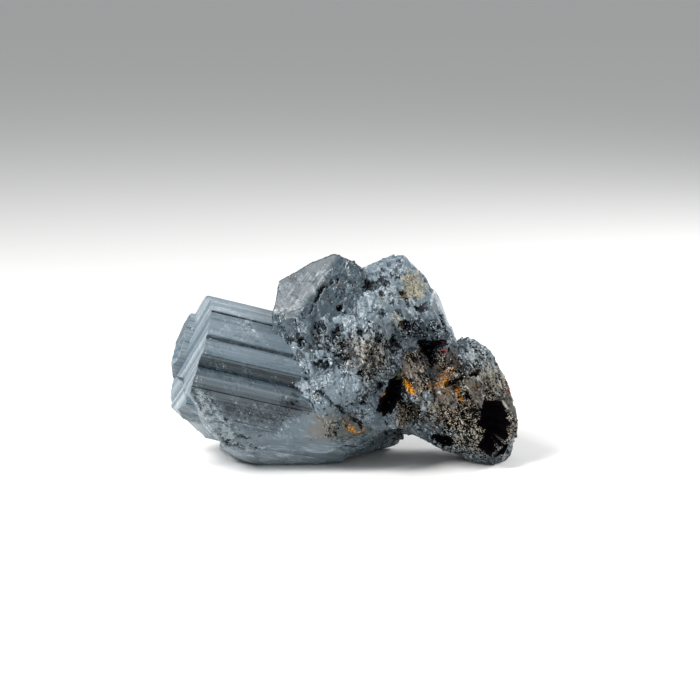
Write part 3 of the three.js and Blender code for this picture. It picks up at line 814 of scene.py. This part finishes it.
def stitched(count, rows_in_all):
    """Faces between neighbouring rows of a tube, round and round, and a fan of four-sided faces, two places
    wide, that closes each end on a pole. UVs are the grid's own two numbers."""
    place, row = np.meshgrid(np.arange(count), np.arange(rows_in_all - 1))
    a, b = (row * count + place).ravel(), (row * count + (place + 1) % count).ravel()
    quads = np.stack([a, a + count, b + count, b], 1)
    u, v, du, dv = place.ravel() / count, row.ravel() / rows_in_all, 1 / count, 1 / rows_in_all
    uvs = np.stack([u, v, u, v + dv, u + du, v + dv, u + du, v], 1).reshape(-1, 2)
    even = np.arange(0, count, 2)
    first, last = rows_in_all * count, rows_in_all * count + 1
    top = (rows_in_all - 1) * count
    fans = [np.stack([np.full(len(even), first), even, even + 1, (even + 2) % count], 1),
            np.stack([np.full(len(even), last), top + (even + 2) % count, top + even + 1, top + even], 1)]
    u = even / count
    for k in range(2):
        v = np.full(len(u), k * (1 - dv))
        fan = np.stack([u + du, v + dv * k, u, v, u + du, v, u + 2 * du, v], 1)
        uvs = np.vstack([uvs, fan.reshape(-1, 2)])
    return np.vstack([quads, *fans]), uvs


def crystal(name, tip, axis, length, corners, width, relief, salt, ends, grid, busy, lines, light_by_angle):
    """Rows of points from -length to the least of distance / (normal . axis) over the end faces that look
    along the axis; the other end faces draw the section in. The end is rings that shrink to the axis."""
    count, rows, rings = grid
    along = heading(*axis)
    up = unit(UP - along * along[2])
    front = np.cross(up, along)
    xy, angle = outline_of(corners, width, relief, salt, count, busy)
    section = np.outer(xy[:, 0], up) + np.outer(xy[:, 1], front)
    planes = [(heading(b, r), d) for b, r, d in ends]
    facing = [(n, d) for n, d in planes if n @ along > ASLANT]
    beside = [(n, d) for n, d in planes if n @ along <= ASLANT]

    def reach(flat):
        """Distance along the axis to the nearest facing plane."""
        return np.min([(d - flat @ n) / (n @ along) for n, d in facing], axis=0)

    def drawn_in(flat, at):
        """How much a point of the section shrinks to stay behind the side planes at that station."""
        keep = np.ones(np.broadcast_shapes(flat.shape[:-1], at.shape))
        for n, d in beside:
            out = np.broadcast_to(flat @ n, keep.shape)
            limit = (d - at * (n @ along)) / np.maximum(out, 1e-6)
            keep = np.where(out > 1e-6, np.clip(limit, 0.02, keep), keep)
        return keep

    last = reach(section)
    for _ in range(5):  # the section shrinks where it is cut, which moves the cut, so it is found by trying
        last = reach(section * drawn_in(section, last)[:, None])
    station = -length + (last + length)[None, :] * np.linspace(0, 1, rows + 1)[:, None]
    flat = section[None] * drawn_in(section[None], station)[..., None]
    ring = flat[-1][None] * (np.linspace(1, 0, rings + 1)[1:-1, None, None] ** 0.9)
    body = flat + station[..., None] * along
    cap = ring + reach(ring)[..., None] * along
    points = np.concatenate([body, cap]).reshape(-1, 3) + tip
    skin = np.concatenate([np.tile(unit(section), (rows + 1, 1)), np.tile(along, (cap[..., 0].size, 1))])
    theta = np.tile(angle, rows + rings)
    run = np.concatenate([station, np.tile(last, (rings - 1, 1))]).ravel()
    side = np.repeat(np.arange(rows + rings) <= rows, count)
    height, shade, etched, pit_shade = lines(points, theta, run, side, along, salt, light_by_angle)
    points += skin * height[:, None]
    poles = np.array([tip - along * length, tip + along * reach(np.zeros((1, 3)))[0]])
    marks = marks_for(np.vstack([points, poles]), np.append(shade, shade[-2:]))
    marks["etched"] = np.clip(np.append(etched, [0, 0]), 0, 1)
    marks["pit_shade"] = np.append(pit_shade, [0, 0])
    quads, uvs = stitched(count, rows + rings)
    return lay_out(name, np.vstack([points, poles]), quads, uvs, marks)


print("a closed tube of 8 places and 5 rows has", len(stitched(8, 5)[0]), "faces")

# %% [markdown]
# ## Lines on the crystals
# Striations are what tells tourmaline from other black stones: fine steps all along the sides, each a growth
# layer that stopped. A regular wave would look machined, so the steps are strips of chance widths, most of
# them ending partway along. The free end carries finer lines in one slanting direction.

# %% Lines on the crystals
def strips(theta, run, degrees, long, salt):
    """Level from 0 to 1 of the strip at each place: cells `degrees` wide and about `long` mm long, the next
    row of cells starting at a place of its own."""
    lane = np.floor(theta / degrees).astype(np.int64)
    start = chance(lane, salt) * long
    cell = np.floor((run + start + 200) / (long * (0.6 + 0.8 * chance(lane, salt + 1)))).astype(np.int64)
    return chance(lane * 131 + cell, salt + 2)


def groove(theta, at, half):
    """1 along the middle of a line at an angle, falling fast to 0 half a width away."""
    return np.clip(3 - 3 * np.abs(theta - at) / half, 0, 1)


def grown_lines(points, theta, run, side, axis, salt, light_by_angle):
    """Height in mm, lightness with light and shade painted by angle, etching, and painted shade for etched
    pits: three sizes of strips and four grooves on the sides, two sizes of slanting steps on the end, etching
    over both."""
    bend = theta + 0.3 * np.sin(run * 0.35 + theta)
    broad, fine = strips(bend, run, 3.1, 26, salt + 20), strips(bend, run, 0.9, 11, salt + 30)
    hair = strips(bend, run, 0.45, 5, salt + 40)
    on_side = 0.09 * (broad - 0.5) + 0.02 * (fine - 0.5) + 0.006 * (hair - 0.5)
    scallop = chance(np.floor(run / 1.7).astype(np.int64), salt + 50)
    cut = 0.30 * groove(theta, 30, 0.7 + 0.6 * np.clip((-7 - run) / 4, 0, 1))
    cut += 0.26 * groove(theta, 57, 0.5 + 0.8 * scallop)
    cut += 0.14 * groove(theta, 81, 0.5) + 0.16 * groove(theta, 97, 0.5)
    on_side -= cut
    slant = unit(np.cross(heading(-101, 30), heading(-20, 60)))
    narrow, wide = (ridges(points, slant, width, salt + k) - 0.5 for width, k in ((0.5, 3), (2.3, 4)))
    etched = near_spots(frayed(points, 0.8), ETCHED)
    bites = pits(points, 1.4, salt + 7, 0.34, axis, 1.5)
    curls = pits(points, 0.75, salt + 8, 0.36)
    rough = grain(points, 0.8, salt + 9, axis, 1.5, 0.20, 0.34)[0] - 0.25 * bites - 0.20 * curls
    height = np.where(side, on_side * (1 - 0.8 * etched), 0.16 * narrow + 0.3 * wide) + etched * rough
    height += grain(points, 0.5, salt + 10, step=0.03, slope=0.06)[0]
    # Painted shade: the grooves are painted darker as well as cut in.
    lines = 0.12 * (broad - 0.5) + 0.05 * (fine - 0.5) + 0.05 * (hair > 0.93) - 0.9 * cut
    level = np.where(side, lines, 0.30 * narrow + 0.2 * wide)
    # Painted light and shade: each face of the section takes the lightness listed for its angle, up to the
    # next.
    angles, base = np.array(light_by_angle).T  # each tone holds from its angle to the next
    base = np.where(side, base[np.searchsorted(angles, theta, side="right") - 1], base[-1])
    shade = base + level * (1 - 0.6 * etched)
    shade = shade * (1 - etched) + etched * (0.82 - 0.18 * curls)
    crumbly = 0.10 + 0.8 * etched + 0.15 * (side & (theta > 97) & (theta < 130))
    return height, shade, crumbly, 0.6 * etched * bites


# Painted light and shade by angle round the long crystal: the upper faces lighter, the front ones darker.
MAIN_LIGHT_AND_SHADE = [  # lightness by angle round the long crystal, 0 up and 90 to the front
    (0, 0.8), (11, 0.8), (29.3, 0.43), (31.2, 0.64), (40, 0.67), (48, 0.65), (58.5, 0.71), (66, 0.64),
    (71, 0.48), (73, 0.33), (80, 0.37), (82, 0.41), (87.4, 0.54), (88.9, 0.44), (93, 0.35), (97, 0.43),
    (101, 0.39), (108, 0.35), (116, 0.42), (124, 0.52), (134, 0.56), (150, 0.6), (200, 0.5), (335, 0.7),
    (361, 0.7),
]
CRYSTALS = {
    "main_crystal": dict(
        tip=np.array([-29.5, -4, 20.4]), length=32, width=2.1, relief=1.1, salt=5, grid=(660, 110, 34),
        corners=[
            (-26, 14.8), (11, 14.5), (30, 14.7), (56, 14.9), (58.5, 14.4), (61, 14.9), (72, 15.1), (88, 14.6),
            (97, 14.4), (118, 15.1), (142, 14.8), (180, 14), (217, 15.4), (262, 15.6), (298, 14.6),
        ],
        ends=[
            (-80, 21, 2.2), (-76, 9, 3.3), (-121, 47, 10.6), (-107, 24, 8.3), (-94, 0, 6.2), (-85, 1, 5.2),
            (-72, -42, 9.1), (-41, -56, 13), (-64, -32, 6.8), (2, -48, 16.2),
        ],
        busy=(0, 160), light_by_angle=MAIN_LIGHT_AND_SHADE,
    ),
    "side_crystal": dict(
        tip=np.array([-30.5, -9, 13.8]), length=16, width=1.6, relief=0.6, salt=9, grid=(220, 60, 18),
        corners=[(20, 4.2), (80, 5.2), (140, 5), (200, 4.4), (260, 5), (320, 5.4)],
        ends=[(-68, 11, 2.6), (-95, -1, 4.2), (-60, -38, 2.7), (-30, -49, 2.4)],
        busy=(0, 360), light_by_angle=[(0, 0.6), (90, 0.5), (180, 0.45), (361, 0.66)],
    ),
    "far_crystal": dict(  # behind both, with its end a step proud of the long crystal's
        tip=np.array([-32.6, 5, 24.3]), length=12, width=1.4, relief=0.3, salt=13, grid=(240, 50, 16),
        corners=[(0, 5.2), (50, 5.1), (90, 5.2), (130, 6.6), (165, 8.6), (195, 8.6), (240, 5.4), (300, 5)],
        ends=[(-85, 25, 0.9), (-90, 0, 2.3), (-60, 50, 4.4), (-45, 18, 3.4)],
        busy=(0, 360), light_by_angle=[(0, 0.8), (40, 0.8), (200, 0.5), (361, 0.62)],
    ),
}
for name, spec in CRYSTALS.items():
    finish_piece(crystal(name, axis=MAIN, lines=grown_lines, **spec))

# %% [markdown]
# ## Floor, light and camera
# A specimen is shown on a plain pale sheet. Facets want large soft lights, since each face is a small dull
# mirror: one big panel high on the left for the bright faces, a weaker one on the right, and a pale room that
# fills the rest.

# %% Floor
bpy.ops.mesh.primitive_plane_add(size=6, location=(0, 0, 0))
floor = bpy.context.object
floor.name = "floor"
paper = bpy.data.materials.new("matt_paper")  # scatters light evenly: soft shadows, no shine
paper.use_nodes = True
sheet = paper.node_tree.nodes["Principled BSDF"].inputs
sheet["Base Color"].default_value, sheet["Roughness"].default_value = linear("#f1f1ef"), 0.9
floor.data.materials.append(paper)

# %% Light
PANELS = {  # square lamps: place in mm, size in mm, power in watts
    "key": ((-260, -180, 330), 200, 2.9), "rim": ((300, 140, 260), 160, 1.3),
    "low_front": ((120, -420, 120), 240, 0.10),
}
for name, (place, size, power) in PANELS.items():
    data = bpy.data.lights.new(name, "AREA")
    data.size, data.energy = size * MM, power
    lamp = bpy.data.objects.new(name, data)
    lamp.location = Vector(place) * MM
    to_middle = Vector((0, 0, 18)) * MM - lamp.location
    lamp.rotation_euler = to_middle.to_track_quat("-Z", "Y").to_euler()
    bpy.context.scene.collection.objects.link(lamp)
world = bpy.data.worlds.new("room")
world.use_nodes = True
room = world.node_tree.nodes["Background"].inputs
room["Color"].default_value, room["Strength"].default_value = linear("#f4f6f8"), 0.42
bpy.context.scene.world = world
bpy.context.scene.view_settings.view_transform = "Standard"
print("three panels and a pale room")

# %% Camera
CAMERA_RISE = 12
CAMERA_FAR = 392  # mm from the place it looks at
camera_data = bpy.data.cameras.new("camera")
camera_data.lens, camera_data.sensor_width = 100, 36
camera_data.clip_start, camera_data.clip_end = 0.01, 20
camera = bpy.data.objects.new("camera", camera_data)
aim = Vector((1.1 + OVER_ORIGIN[0], OVER_ORIGIN[1], 22.7)) * MM
camera.location = aim + Vector(heading(0, CAMERA_RISE)) * CAMERA_FAR * MM
camera.rotation_euler = (aim - camera.location).to_track_quat("-Z", "Y").to_euler()
bpy.context.scene.collection.objects.link(camera)
bpy.context.scene.camera = camera
print("camera at", [round(v / MM) for v in camera.location], "mm")

# %% [markdown]
# ## Update
# The scene is brought up to date at the end. The dressed specimen has to stay the size of the solid
# model.

# %% Update
bpy.context.view_layer.update()
